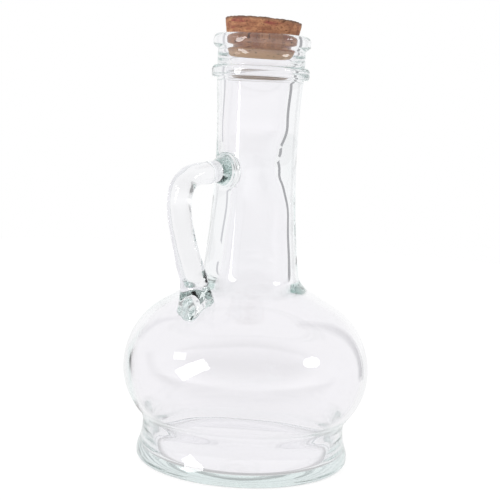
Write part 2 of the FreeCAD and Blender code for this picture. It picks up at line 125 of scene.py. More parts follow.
PUNT_DEPTH = 8.5
REST_INNER = 43.0
HEEL_EDGE = 2.4
FOOT_WIDEST = 3.6
FOOT_RADIUS = 54.5
FOOT_ROUND = 9.0
WAIST = (51.8, 18.0)
BULB = (63.0, 47.5)
BULB_LOWER_ROUND = 34.0
BULB_UPPER_ROUND = 38.0
SHOULDER_SLOPE = 31.0
SHOULDER_FILLET = 12.0
THROAT = (20.4, 158.0)
NECK_SWEEP = 460.0
COLLAR_RADIUS = 21.9
GLASS_HEIGHT = 216.5
RING_RADIUS = 24.5
RING_ROUND = 3.1
RING_HEIGHT = GLASS_HEIGHT - 18.6
RING_LOWER_EDGE = 1.4
RING_UPPER_EDGE = 2.2
FINISH_RADIUS = 22.0
LIP_RADIUS = 24.4
LIP_FOOT = GLASS_HEIGHT - 7.6
LIP_LOW = GLASS_HEIGHT - 5.6
LIP_FOOT_EDGE = 1.2
LIP_LOWER_EDGE = 1.6
LIP_ROUND = 3.0

FLOOR_HEIGHT = PUNT_DEPTH + 4.5
FLOOR_SWEEP = 110.0
CORNER_ROUND = 3.0
WAIST_WALL = 4.0
BULB_WALL = 2.8
ROOT_ROUND = 16.0
BORE_FLARE = 5.7
BORE_THROAT = 12.5
THROAT_SWEEP = 60.0
THROAT_ROUND = 16.0
BORE_END = GLASS_HEIGHT - 8.5
MOUTH_RADIUS = 18.3
MOUTH_ROUND = 1.5

SECTION_STEP = 2.2
ARC_STEP = 9.0
TURN_STEPS = 192


def polar(centre, radius, degrees):
    """The point at a distance and an angle from a centre."""
    turn = math.radians(degrees)
    return centre[0] + radius * math.cos(turn), centre[1] + radius * math.sin(turn)


def aim(centre, point):
    """The angle of a point seen from a centre, from 0 to 360 degrees above level."""
    return math.degrees(math.atan2(point[1] - centre[1], point[0] - centre[0])) % 360


def line(first, last):
    """Points along a straight run, no further apart than the step allows."""
    steps = max(1, math.ceil(math.dist(first, last) / SECTION_STEP))
    return [tuple(np.array(first) + (np.array(last) - first) * i / steps) for i in range(steps + 1)]


def arc(centre, radius, start, end):
    """Points along an arc between two angles, no further apart than the steps allow."""
    turn = abs(end - start)
    steps = max(math.ceil(turn / ARC_STEP), math.ceil(math.radians(turn) * radius / SECTION_STEP))
    return [polar(centre, radius, angle) for angle in np.linspace(start, end, steps + 1)]


def hollow(centre, radius, point):
    """Centre, radius and touching point of the hollow arc from a round one to an upright point."""
    across, up = point[0] - centre[0], point[1] - centre[1]
    sweep = (across**2 + up**2 - radius**2) / (2 * (radius - across))
    middle = (point[0] + sweep, point[1])
    touch = tuple(c + (m - c) * radius / (radius + sweep) for c, m in zip(centre, middle))
    return middle, sweep, touch


def rounded(corners):
    """Straight runs through corners given as (radius, height, round)."""
    points = [corners[0][:2]]
    for before, (*corner, size), after in zip(corners, corners[1:-1], corners[2:]):
        back, on = (np.array(p[:2]) - corner for p in (before, after))
        back, on = back / np.linalg.norm(back), on / np.linalg.norm(on)
        half = math.acos(np.clip(back @ on, -1, 1)) / 2
        start, end = (corner + way * size / math.tan(half) for way in (back, on))
        centre = corner + (back + on) / np.linalg.norm(back + on) * size / math.sin(half)
        first, last = aim(centre, start), aim(centre, end)
        last += 360 * round((first - last) / 360)
        points += arc(tuple(centre), size, first, last)
    return points + [corners[-1][:2]]


def outer_section():
    """The outside of the glass, from the middle of the base to the inner edge of the lip."""
    punt_sweep = (REST_INNER**2 + PUNT_DEPTH**2) / (2 * PUNT_DEPTH)
    punt_centre = (0.0, PUNT_DEPTH - punt_sweep)
    foot_centre = (FOOT_RADIUS - FOOT_ROUND, FOOT_WIDEST)
    low_centre = (BULB[0] - BULB_LOWER_ROUND, BULB[1])
    high_centre = (BULB[0] - BULB_UPPER_ROUND, BULB[1])
    under_centre, under_sweep, foot_touch = hollow(foot_centre, FOOT_ROUND, WAIST)
    over_centre, over_sweep, bulb_touch = hollow(low_centre, BULB_LOWER_ROUND, WAIST)

    # The fillet at the root of the neck touches the shoulder's cone and the neck's sweep.
    normal = 90 - SHOULDER_SLOPE
    shoulder_low = polar(high_centre, BULB_UPPER_ROUND, normal)
    neck_centre = (THROAT[0] + NECK_SWEEP, THROAT[1])
    start = np.array(polar(shoulder_low, SHOULDER_FILLET, normal))
    way = np.array(polar((0, 0), 1, normal + 90))
    back = start - neck_centre
    reach = back @ way
    along = math.sqrt(reach**2 - back @ back + (NECK_SWEEP - SHOULDER_FILLET) ** 2) - reach
    fillet_centre = tuple(start + way * along)
    shoulder_high = polar(fillet_centre, SHOULDER_FILLET, normal + 180)
    root = aim(neck_centre, fillet_centre)

    ring_centre = (RING_RADIUS - RING_ROUND, RING_HEIGHT)
    ring_low = -math.degrees(math.acos((COLLAR_RADIUS - ring_centre[0]) / RING_ROUND))
    ring_high = math.degrees(math.acos((FINISH_RADIUS - ring_centre[0]) / RING_ROUND))
    collar_top = polar(ring_centre, RING_ROUND, ring_low)
    rise, spread = collar_top[1] - THROAT[1], collar_top[0] - THROAT[0]
    collar_sweep = (rise**2 + spread**2) / (2 * spread)
    collar_centre = (THROAT[0] + collar_sweep, THROAT[1])
    lip_centre = (LIP_RADIUS - LIP_ROUND, GLASS_HEIGHT - LIP_ROUND)
    finish_low = polar(ring_centre, RING_ROUND, ring_high)

    return [
        *arc(punt_centre, punt_sweep, 90, aim(punt_centre, (REST_INNER, 0))),
        *line((REST_INNER, 0), (FOOT_RADIUS - HEEL_EDGE, 0)),
        *arc((FOOT_RADIUS - HEEL_EDGE, HEEL_EDGE), HEEL_EDGE, -90, 0),
        *arc(foot_centre, FOOT_ROUND, 0, aim(foot_centre, foot_touch)),
        *arc(under_centre, under_sweep, aim(under_centre, foot_touch), 180),
        *arc(over_centre, over_sweep, 180, aim(over_centre, bulb_touch)),
        *arc(low_centre, BULB_LOWER_ROUND, aim(low_centre, bulb_touch) - 360, 0),
        *arc(high_centre, BULB_UPPER_ROUND, 0, normal),
        *line(shoulder_low, shoulder_high),
        *arc(fillet_centre, SHOULDER_FILLET, normal + 180, root),
        *arc(neck_centre, NECK_SWEEP, root, 180),
        *arc(collar_centre, collar_sweep, 180, aim(collar_centre, collar_top)),
        *rounded([(*collar_top, 0), (RING_RADIUS, collar_top[1], RING_LOWER_EDGE),
                  (RING_RADIUS, finish_low[1], RING_UPPER_EDGE), (*finish_low, 0)]),
        *rounded([(*finish_low, 0), (FINISH_RADIUS, LIP_FOOT, LIP_FOOT_EDGE),
                  (LIP_RADIUS, LIP_LOW, LIP_LOWER_EDGE), (LIP_RADIUS, lip_centre[1], 0)]),
        *arc(lip_centre, LIP_ROUND, 0, 90),
        *line((lip_centre[0], GLASS_HEIGHT), (MOUTH_RADIUS + MOUTH_ROUND, GLASS_HEIGHT)),
    ]


def inner_section():
    """The inside of the glass, from the edge of the mouth to the middle of the floor."""
    belly = BULB[0] - BULB_WALL
    low_round, high_round = BULB_LOWER_ROUND - BULB_WALL, BULB_UPPER_ROUND - BULB_WALL
    low_centre, high_centre = (belly - low_round, BULB[1]), (belly - high_round, BULB[1])
    waist = (WAIST[0] - WAIST_WALL, WAIST[1])
    waist_centre, waist_sweep, bulb_touch = hollow(low_centre, low_round, waist)
    rise, spread = BORE_END - THROAT[1], MOUTH_RADIUS - BORE_THROAT
    bore_round = (rise**2 + spread**2) / (2 * spread) - THROAT_ROUND
    bore_centre = (MOUTH_RADIUS - bore_round, BORE_END)
    over_centre = (BORE_THROAT + THROAT_ROUND, THROAT[1])
    pinch = aim(over_centre, bore_centre)
    under_centre = (BORE_THROAT + THROAT_SWEEP, THROAT[1])
    flare_top = polar(under_centre, THROAT_SWEEP, 180 + BORE_FLARE)

    # The root's fillet touches the flaring bore and the shoulder's cone.
    normal = 90 - SHOULDER_SLOPE
    shoulder_low = polar(high_centre, high_round, normal)
    bore_way, cone_way = (np.array(polar((0, 0), 1, a)) for a in (270 + BORE_FLARE, normal + 90))
    bore_start = np.array(polar(flare_top, ROOT_ROUND, BORE_FLARE))
    cone_start = np.array(polar(shoulder_low, ROOT_ROUND, normal))
    runs = np.linalg.solve(np.column_stack([bore_way, -cone_way]), cone_start - bore_start)
    root_centre = tuple(bore_start + bore_way * runs[0])

    floor_centre = (0.0, FLOOR_HEIGHT - FLOOR_SWEEP)
    corner_across = waist[0] - CORNER_ROUND
    corner_up = math.sqrt((FLOOR_SWEEP + CORNER_ROUND) ** 2 - corner_across**2)
    corner_centre = (corner_across, floor_centre[1] + corner_up)
    floor_turn = aim(floor_centre, corner_centre)

    return [
        *arc((MOUTH_RADIUS + MOUTH_ROUND, GLASS_HEIGHT - MOUTH_ROUND), MOUTH_ROUND, 90, 180),
        *line((MOUTH_RADIUS, GLASS_HEIGHT - MOUTH_ROUND), (MOUTH_RADIUS, BORE_END)),
        *arc(bore_centre, bore_round, 0, pinch - 180),
        *arc(over_centre, THROAT_ROUND, pinch, 180),
        *arc(under_centre, THROAT_SWEEP, 180, 180 + BORE_FLARE),
        *line(flare_top, polar(root_centre, ROOT_ROUND, 180 + BORE_FLARE)),
        *arc(root_centre, ROOT_ROUND, 180 + BORE_FLARE, normal + 180),
        *line(polar(root_centre, ROOT_ROUND, normal + 180), shoulder_low),
        *arc(high_centre, high_round, normal, 0),
        *arc(low_centre, low_round, 0, aim(low_centre, bulb_touch) - 360),
        *arc(waist_centre, waist_sweep, aim(waist_centre, bulb_touch), 180),
        *line(waist, (waist[0], corner_centre[1])),
        *arc(corner_centre, CORNER_ROUND, 0, floor_turn - 180),
        *arc(floor_centre, FLOOR_SWEEP, floor_turn, 90),
    ]


def thinned(points, least=0.02):
    """The points without those that repeat the one before."""
    kept = [points[0]]
    for point in points[1:]:
        if math.dist(point, kept[-1]) > least:
            kept.append(point)
    return kept


def smooth_run(stations, count):
    """Even points along a smooth curve through stations, measured on their first two columns."""
    # Half a millimetre more keeps stations on nearly the same spot apart.
    steps = np.linalg.norm(np.diff(stations[:, :2], axis=0), axis=1) + 0.5
    knots = np.concatenate([[0], np.cumsum(np.maximum(steps, 1.0))])
    slopes = np.gradient(stations, knots, axis=0)
    run = []
    for s in np.linspace(0, knots[-1], count):
        i = min(np.searchsorted(knots, s, side="right") - 1, len(knots) - 2)
        gap = knots[i + 1] - knots[i]
        t = (s - knots[i]) / gap
        run.append((2 * t**3 - 3 * t**2 + 1) * stations[i] + (t**3 - 2 * t**2 + t) * gap * slopes[i]
                   + (3 * t**2 - 2 * t**3) * stations[i + 1] + (t**3 - t**2) * gap * slopes[i + 1])
    return np.array(run)


OUTER = np.array(thinned(outer_section()))
INNER = np.array(thinned(inner_section())[1:])


# Blown glass body

# Depth, size and offset of the unevenness outside and inside. It dies out towards the base and
# below the ring, where tools shaped the glass.
OUTER_WAVE = (0.16, 34.0, 0.0)
INNER_WAVE = (0.42, 30.0, 7.0)
WAVE_BASE = 25.0
WAVE_END = GLASS_HEIGHT - 22.0
WAVE_FADE = 20.0

# The turn of the photo's camera about the bottle's axis.
VIEW_AZIMUTH = -43.0

# The bore as blown: height, shift to the picture's right, and widening against the turned section.
BORE_LEAN = ((78, 0.0, 0.0), (85, 0.0, -0.5), (90, 0.3, -1.0), (98, 1.0, -0.9), (116, 1.3, -0.9),
             (133, 1.4, -0.5), (143, -0.1, -0.5), (151, -2.0, -0.2), (158, -2.1, 1.5),
             (168, -1.5, 1.2), (182, -1.3, -1.0), (191, -0.8, -1.7), (200, -0.2, -0.5),
             (206, 0.0, 0.0))
LEAN_STEPS = 400


def bump(value, middle, spread):
    """A round hump: one in the middle, and nothing far from it."""
    return math.exp(-((value - middle) / spread) ** 2)


def wave(point, size, offset):
    """Smooth unevenness of the given size at a point, from -1 to 1."""
    return noise.noise(Vector(point) / size + Vector((offset, 0, 0)), noise_basis="PERLIN_NEW")


def glass_body(look):
    """The bottle turned from its section, with the unevenness of hand-blown walls."""
    picture_right = np.array([math.cos(math.radians(VIEW_AZIMUTH)),
                              math.sin(math.radians(VIEW_AZIMUTH)), 0.0])
    section = np.vstack([OUTER, INNER])
    # A column of zeros beside the heights makes them the only measure along the curve.
    lean = smooth_run(np.insert(np.array(BORE_LEAN), 1, 0.0, axis=1), LEAN_STEPS)
    turns = np.arange(TURN_STEPS) * 2 * math.pi / TURN_STEPS
    vertices, rings = [], []
    for index, (radius, height) in enumerate(section):
        inside = index >= len(OUTER)
        if radius < 1e-6:
            rings.append([len(vertices)])
            vertices.append((0.0, 0.0, height))
            continue
        rings.append(list(range(len(vertices), len(vertices) + TURN_STEPS)))
        depth, size, offset = INNER_WAVE if inside else OUTER_WAVE
        depth *= min(1.0, height / WAVE_BASE) * min(1.0, max(0.0, (WAVE_END - height) / WAVE_FADE))
        shift, widen = (np.interp(height, lean[:, 0], lean[:, i]) * inside for i in (2, 3))
        for turn in turns:
            point = np.array([radius * math.cos(turn), radius * math.sin(turn), height])
            out = widen + depth * wave(point, size, offset)
            vertices.append(point * [1 + out / radius, 1 + out / radius, 1] + picture_right * shift)
    return piece("bottle_glass", vertices, skin(rings), look)


# Welded loop handle
# Pairs are an oval's thickness and width. A toe is an angle round the foot, how far it stands out,
# and its spread in degrees.

HANDLE_TOP = 148.6
HANDLE_DROP = 1.6
HANDLE_BEND = 11.3
BEND_STATIONS = 4
HANDLE_REACH = 49.0
LEG_BOW = 55.0
LEG_LEAN = 18.5
WELD_RIM = 2.2
WELD_BLEND = 6.5
WELD_SINK = 0.8
PAD = (18.6, 18.8)
PAD_FLARE = 0.4
STEM = (11.0, 12.6)
STEM_TURN = 6.0
LEG = (10.8, 13.2)
ANKLE = (13.6, 15.6)
FOOT = (19.4, 19.6)
FOOT_FLARE = 0.25
FOOT_TAIL = 3.0
ROD_STATIONS = 230
ROD_SIDES = 128
CAP_RINGS = 6
RIPPLE, RIPPLE_STEP = 0.13, 1.5
TOES = ((-44, 5.4, 24), (-116, 2.4, 16), (60, -2.4, 50))
TOE_TALL = 10.0
ROD_WAVE, ROD_WAVE_SIZE, ROD_WAVE_OFFSET = 0.3, 13.0, 3.0
ROD_WAVE_REACH = 9.0


def between(first, last, share=0.5):
    """A share of the way from one tuple to another."""
    return tuple(a + (b - a) * share for a, b in zip(first, last))


def handle_stations():
    """The handle's ovals from neck to shoulder: reach, height, turn, thickness and width."""
    neck = THROAT[0]
    bend_reach, bend_height = HANDLE_REACH - HANDLE_BEND, HANDLE_TOP - HANDLE_DROP - HANDLE_BEND
    stations = [(neck + out, HANDLE_TOP, 0.0, *oval) for out, oval in
                ((0.0, PAD), (WELD_RIM, between(PAD, STEM, PAD_FLARE)), (WELD_BLEND, STEM))]
    stem_reach = (neck + WELD_BLEND + bend_reach) / 2
    stations.append((stem_reach, HANDLE_TOP - HANDLE_DROP / 2, STEM_TURN, *STEM))
    for turn in np.linspace(STEM_TURN, 90.0, BEND_STATIONS):
        reach, height = polar((bend_reach, bend_height), HANDLE_BEND, 90 - turn)
        stations.append((reach, height, turn, *LEG))
    for share in (0.5, 1.0):
        reach, height = polar((HANDLE_REACH - LEG_BOW, bend_height), LEG_BOW, -share * LEG_LEAN)
        stations.append((reach, height, 90 + share * LEG_LEAN, *LEG))

    # The leg runs straight on and lands on the shoulder's cone.
    leg_reach, leg_height = stations[-1][:2]
    lean, slope = (math.tan(math.radians(a)) for a in (LEG_LEAN, SHOULDER_SLOPE))
    cone_reach, cone_height = polar((BULB[0] - BULB_UPPER_ROUND, BULB[1]), BULB_UPPER_ROUND,
                                    90 - SHOULDER_SLOPE)
    fall = leg_height - cone_height - cone_reach * slope
    land_reach = (leg_reach - fall * lean) / (1 + slope * lean)
    land_height = cone_height + (cone_reach - land_reach) * slope
    ankle_reach, ankle_height = land_reach + WELD_BLEND * lean, land_height + WELD_BLEND
    calf = between((leg_reach, leg_height), (ankle_reach, ankle_height))
    stations.append((*calf, 90 + LEG_LEAN, *between(LEG, ANKLE)))
    stations.append((ankle_reach, ankle_height, 90 + LEG_LEAN, *ANKLE))
    tail_reach, tail_height = land_reach + FOOT_TAIL, land_height - FOOT_TAIL * slope
    stations.append((tail_reach, tail_height + WELD_RIM, 90 + SHOULDER_SLOPE,
                     *between(FOOT, ANKLE, FOOT_FLARE)))
    stations.append((tail_reach, tail_height, 90 + SHOULDER_SLOPE, *FOOT))
    return np.array(stations)


def neck_surface(across, height):
    """Reach of the neck's outside at a place beside the handle's plane."""
    above = OUTER[:, 1] > BULB[1]
    radius = np.interp(height, OUTER[above, 1], OUTER[above, 0])
    return math.sqrt(radius**2 - across**2)


def shoulder_surface(reach, across):
    """Height of the shoulder's outside at a place."""
    above = (OUTER[:, 1] >= BULB[1]) & (OUTER[:, 1] <= THROAT[1])
    return np.interp(math.hypot(reach, across), OUTER[above, 0][::-1], OUTER[above, 1][::-1])


def handle_rod(look):
    """A thick rod drawn from the neck to the shoulder, with a flattened pad and a crimped foot."""
    vertices = []
    angles = np.arange(ROD_SIDES) * 2 * math.pi / ROD_SIDES
    run = smooth_run(handle_stations(), ROD_STATIONS)
    along = np.concatenate([[0], np.cumsum(np.linalg.norm(np.diff(run[:, :2], axis=0), axis=1))])
    for (reach, height, turn, thick, wide), way in zip(run, along):
        up = np.array([math.sin(math.radians(turn)), math.cos(math.radians(turn))])
        left = min(1.0, (along[-1] - way) / TOE_TALL)
        ripple = RIPPLE * math.sin(2 * math.pi * way / RIPPLE_STEP) * max(0, 1 - way / WELD_BLEND)
        for angle in angles:
            # Pincers pressed the foot into toes on one side.
            side = (math.degrees(angle) + 180) % 360 - 180
            toe = sum(out * bump(side, at, spread) for at, out, spread in TOES) * (1 - left**2) ** 2
            spot = (reach, ROD_WAVE_REACH * math.sin(angle),
                    height + ROD_WAVE_REACH * math.cos(angle))
            uneven = ROD_WAVE * left * wave(spot, ROD_WAVE_SIZE, ROD_WAVE_OFFSET)
            more = ripple + toe + uneven
            out = up * (thick / 2 + more) * math.cos(angle)
            across = (wide / 2 + more) * math.sin(angle)
            vertices.append((-(reach + out[0]), across, height + out[1]))
    rows = [list(range(i * ROD_SIDES, (i + 1) * ROD_SIDES)) for i in range(ROD_STATIONS)]

    def cap(edge, seat):
        """Rings that carry the rod into the wall and close it there."""
        middle = np.mean([vertices[i] for i in edge], axis=0)
        made = []
        for ring in range(CAP_RINGS):
            share = 1 - ring / CAP_RINGS
            made.append(list(range(len(vertices), len(vertices) + ROD_SIDES)))
            for i in edge:
                vertices.append(seat(middle + (np.array(vertices[i]) - middle) * share))
        made.append([len(vertices)])
        vertices.append(seat(middle))
        return made

    def neck_seat(point):
        return -(neck_surface(point[1], point[2]) - WELD_SINK), point[1], point[2]

    def shoulder_seat(point):
        return point[0], point[1], shoulder_surface(-point[0], point[1]) - WELD_SINK

    rows = cap(rows[0], neck_seat)[::-1] + rows + cap(rows[-1], shoulder_seat)
    return piece("handle_glass", vertices, skin(rows), look)


# Cork

CORK_DEPTH = 13.1
CORK_PROUD = 8.8
CORK_TAPER = 9.9
CORK_LEAN = 3.1
CORK_GAP = 0.3
CORK_EDGE = 0.7
CORK_SIDES = 260
CORK_STEP = 0.45

# Depth, size and offset of the torn skin and of the rim's chips.
TEARS = ((0.12, 1.1, 0), (0.1, 3.7, 5))
CHIP, CHIP_SIZE, CHIP_OFFSET, CHIP_SHARE = 0.9, 2.6, 9, 0.1
RIM_TALL = 1.3
RIM_WIDE = 2.5
FACE_FRESH = 0.2

# Pores to a square metre, and a pore's least and greatest half lengths.
PORE_DENSITY = 90000.0
PORE_SEED = 4
PORE_LEAST = (0.12, 0.08, 0.05)
PORE_MOST = (0.85, 0.3, 0.09)


def cork_plug(look):
    """A tapered stopper wedged askew in the mouth, its skin torn a little by the cutter."""
    taper, lean = math.radians(CORK_TAPER), math.radians(CORK_LEAN)
    seat = MOUTH_RADIUS + MOUTH_ROUND - (MOUTH_ROUND + CORK_GAP) / math.cos(taper)
    low = seat - CORK_DEPTH * math.tan(taper)
    high = seat + CORK_PROUD * math.tan(taper)
    tall = CORK_DEPTH + CORK_PROUD
    corners = np.array(rounded([(0, 0, 0), (low, 0, CORK_EDGE), (high, tall, CORK_EDGE),
                                (0, tall, 0)]))
    lengths = np.concatenate([[0], np.cumsum(np.linalg.norm(np.diff(corners, axis=0), axis=1))])
    steps = np.linspace(0, lengths[-1], math.ceil(lengths[-1] / CORK_STEP) + 1)
    section = np.column_stack([np.interp(steps, lengths, corners[:, i]) for i in (0, 1)])
    ways = np.gradient(section, axis=0)
    normals = np.column_stack([ways[:, 1], -ways[:, 0]]) / np.linalg.norm(ways, axis=1)[:, None]

    set_down = Matrix.Translation((-(CORK_DEPTH + seat * math.tan(taper)) * math.sin(lean), 0,
                                   GLASS_HEIGHT - MOUTH_ROUND - CORK_DEPTH * math.cos(lean)))
    set_down = set_down @ Matrix.Rotation(lean, 4, "Y")
    vertices, rings, heights = [], [], []
    for (radius, height), normal in zip(section, normals):
        ring = [0.0] if radius < 1e-6 else np.arange(CORK_SIDES) * 2 * math.pi / CORK_SIDES
        rings.append(list(range(len(vertices), len(vertices) + len(ring))))
        rim = bump(height, tall, RIM_TALL) * bump(radius, high, RIM_WIDE)
        # The middle of the top face is fresher than its worn rim.
        fresh = FACE_FRESH * (1 - bump(radius, high, RIM_WIDE)) if height == tall else 0.0
        for turn in ring:
            flat = Vector((radius * math.cos(turn), radius * math.sin(turn), height))
            torn = sum(depth * (1 + wave(flat, size, offset)) for depth, size, offset in TEARS)
            torn += CHIP * rim * max(0.0, wave(flat, CHIP_SIZE, CHIP_OFFSET) + CHIP_SHARE)
            out = (radius - torn * normal[0]) if radius > 1e-6 else 0.0
            place = set_down @ Vector((out * math.cos(turn), out * math.sin(turn),
                                       height - torn * normal[1]))
            vertices.append(tuple(place))
            heights.append(height / tall - fresh)
    made = piece("cork_plug", vertices, skin(rings), look)
    made.data.attributes.new("cork_height", "FLOAT", "POINT").data.foreach_set("value", heights)
    return made


def pore_tree():
    """Scatters small flattened grains on a surface, longer across than up, and joins them to it."""
    tree = bpy.data.node_groups.new("cork_pores", "GeometryNodeTree")
    for name, kind, way in (("Geometry", "Geometry", "INPUT"), ("Density", "Float", "INPUT"),
                            ("Seed", "Int", "INPUT"), ("Pore", "Material", "INPUT"),
                            ("Geometry", "Geometry", "OUTPUT")):
        tree.interface.new_socket(name, in_out=way, socket_type="NodeSocket" + kind)
    given = node(tree, "NodeGroupInput").outputs
    spots = node(tree, "GeometryNodeDistributePointsOnFaces",
                 {"Mesh": given["Geometry"], "Density": given["Density"], "Seed": given["Seed"]})
    level = node(tree, "ShaderNodeVectorMath", {0: spots.outputs["Normal"], 1: (0, 0, 1)},
                 operation="CROSS_PRODUCT")
    turned = node(tree, "FunctionNodeAlignRotationToVector",
                  {"Rotation": spots.outputs["Rotation"], "Vector": level.outputs[0]},
                  axis="X", pivot_axis="Z")
    size = node(tree, "FunctionNodeRandomValue",
                {"Seed": given["Seed"], "Min": PORE_LEAST, "Max": PORE_MOST},
                data_type="FLOAT_VECTOR")
    grain = node(tree, "GeometryNodeMeshIcoSphere", Radius=MM, Subdivisions=2)
    placed = node(tree, "GeometryNodeInstanceOnPoints",
                  {"Points": spots.outputs["Points"], "Instance": grain.outputs["Mesh"],
                   "Rotation": turned.outputs[0], "Scale": size.outputs[0]})
    real = node(tree, "GeometryNodeRealizeInstances", {0: placed.outputs[0]})
    dark = node(tree, "GeometryNodeSetMaterial",
                {"Geometry": real.outputs[0], "Material": given["Pore"]})
    both = node(tree, "GeometryNodeJoinGeometry", {0: dark.outputs[0]})
    tree.links.new(given["Geometry"], both.inputs[0])
    node(tree, "NodeGroupOutput", {0: both.outputs[0]})
    return tree


def add_pores(made, pore):
    """Runs the pore tree on a piece and keeps the result as its plain mesh."""
    tree = pore_tree()
    modifier = made.modifiers.new("pores", "NODES")
    modifier.node_group = tree
    values = {"Density": PORE_DENSITY, "Seed": PORE_SEED, "Pore": pore}
    for socket in tree.interface.items_tree:
        if socket.in_out == "INPUT" and socket.name in values:
            modifier[socket.identifier] = values[socket.name]
    settle(made)


# Weld

def welded(body, rod):
    """The body and the handle as one glass, as the hot weld left them, with no air between."""
    union = body.modifiers.new("weld", "BOOLEAN")
    union.operation, union.solver, union.object = "UNION", "MANIFOLD", rod
    settle(body)
    body.data.shade_smooth()
    bpy.data.objects.remove(rod)
    return body


# Materials

FLECKS_PER_MM = 0.9


def clear_glass():
    """Recycled soda-lime glass, blown and fire polished: bends what is behind it, has sharp bright
    reflections and turns faintly green where it is thick."""
    made, tree = material("recycled_glass_fire_polished")
    surface = node(tree, "ShaderNodeBsdfPrincipled", Base_Color=linear("#FAF9FB"), Roughness=0.0,
                   IOR=1.52, Transmission_Weight=1.0)
    tint = node(tree, "ShaderNodeVolumeAbsorption", Color=linear("#B9DDD6"), Density=3.6)
    node(tree, "ShaderNodeOutputMaterial",
         {"Surface": surface.outputs[0], "Volume": tint.outputs[0]})
    return made


def cut_cork():
    """Natural cork cut with a blade: matt, mottled from tan to red-brown in bands across the bark,
    grainy, dark where the upper rim is worn and paler at the lower end. Below the mouth and on the
    lower face, part of that paleness is painted light that lifts the shade there."""
    made, tree = material("natural_cork_cut")
    place = node(tree, "ShaderNodeTexCoord").outputs["Object"]

    # Noise with grains of these sizes in millimetres, across the bark and up it, and its detail.
    patterns = []
    for across, up, detail in ((6.0, 2.6, 4.0), (12.0, 3.2, 2.0), (0.8, 0.6, 3.0)):
        scale = (1 / (across * MM), 1 / (across * MM), 1 / (up * MM))
        grid = node(tree, "ShaderNodeMapping", {"Vector": place, "Scale": scale})
        noisy = node(tree, "ShaderNodeTexNoise", {"Vector": grid.outputs[0]}, Scale=1.0,
                     Detail=detail, Roughness=0.6)
        patterns.append(noisy.outputs["Fac"])
    blotch, band, grain = patterns
    height = node(tree, "ShaderNodeAttribute", attribute_name="cork_height").outputs["Fac"]

    # Colours laid over the ground one after another: where each begins and is full, and how strong.
    # Red-brown bands and dark grains come first, then a slight painted lift below the mouth, where
    # the glass shades the cork, the paler lower part, the lower face painted paler and greyer
    # against its shade, and the worn rim.
    colour = linear("#84503C")
    for source, begins, full, strength, code in (
            (blotch, 0.32, 0.68, 1.0, "#C48E66"), (band, 0.56, 0.7, 1.0, "#8E4A40"),
            # The last colour on the next line is painted light: a slight lift of the cork below the
            # mouth, in shade.
            (grain, 0.5, 0.72, 1.0, "#5A3A2A"), (height, 0.66, 0.5, 0.15, "#D8A684"),
            # The last colour on the next line is painted light: the lower face paler and greyer
            # against its shade.
            (height, 0.36, 0.14, 1.0, "#E2BC98"), (height, 0.02, 0.0, 1.0, "#BDA794"),
            (height, 0.9, 1.0, 1.0, "#5C4A40")):
        share = node(tree, "ShaderNodeMapRange", {"Value": source}, From_Min=begins, From_Max=full,
                     To_Max=strength)
        blend = node(tree, "ShaderNodeMix",
                     {"Factor": share.outputs[0], 6: colour, 7: linear(code)}, data_type="RGBA")
        colour = blend.outputs[2]
    relief = node(tree, "ShaderNodeBump", {"Height": grain}, Strength=0.5, Distance=0.2 * MM)
    surface = node(tree, "ShaderNodeBsdfPrincipled",
                   {"Base Color": colour, "Normal": relief.outputs[0]}, Roughness=0.88)
    node(tree, "ShaderNodeOutputMaterial", {"Surface": surface.outputs[0]})
    return made


def cork_pore():
    """The dark dust that fills the pores of cork: small brown flecks across the bark."""
    made, tree = material("natural_cork_pore_dust")
    place = node(tree, "ShaderNodeTexCoord").outputs["Object"]
    fleck = node(tree, "ShaderNodeTexNoise", {"Vector": place}, Scale=FLECKS_PER_MM / MM)
    colour = node(tree, "ShaderNodeMix", {"Factor": fleck.outputs["Fac"], 6: linear("#3E2419"),
                                          7: linear("#6B4029")}, data_type="RGBA")
    surface = node(tree, "ShaderNodeBsdfPrincipled", {"Base Color": colour.outputs[2]},
                   Roughness=0.95)
    node(tree, "ShaderNodeOutputMaterial", {"Surface": surface.outputs[0]})
    return made


# Stage

CAMERA_DISTANCE = 600.0
CAMERA_HEIGHT = 183.4
CAMERA_PITCH = 7.15
CAMERA_ROLL = 2.95
FOCAL_PIXELS = 1184.0
IMAGE_PIXELS = 500.0
AXIS_RIGHT_PIXELS = 1.6
SENSOR = 36.0
LIGHT_BOUNCES = 32

PAPER_RADIUS = 900.0
PAPER_SIDES = 48
PAPER_GAP = 0.1

# To the camera the paper is its own glow for this share, lifted a little, and lit paper for the
# rest. Around the middle of the base ring a painted contact shadow darkens it, fully to the core and
# not past the edge.
PAPER_GLOW = 0.82
PAPER_LIFT = 0.1
PAINTED_CONTACT_SHADE = 0.6
CONTACT_CORE = 3.0
CONTACT_EDGE = 6.0

# How bright reflections show the paper beside and behind the bottle, the paper in front of it, the
# room and its horizon. The paper changes over distances ahead of the axis, and the room over parts
# of a unit direction, ahead and up.
PAPER_MIRRORED = 0.95
PAPER_FADE = (-170.0, -60.0)
FRONT_MIRRORED = 0.35
FRONT_FADE = (-300.0, -900.0)
ROOM_MIRRORED = 0.35
ROOM_FADE = (-0.5, -0.1)
HORIZON_MIRRORED = 1.35
HORIZON_TALL = 0.45

# The level direction from the photo's camera to the bottle.
AHEAD = (-math.sin(math.radians(VIEW_AZIMUTH)), math.cos(math.radians(VIEW_AZIMUTH)), 0.0)


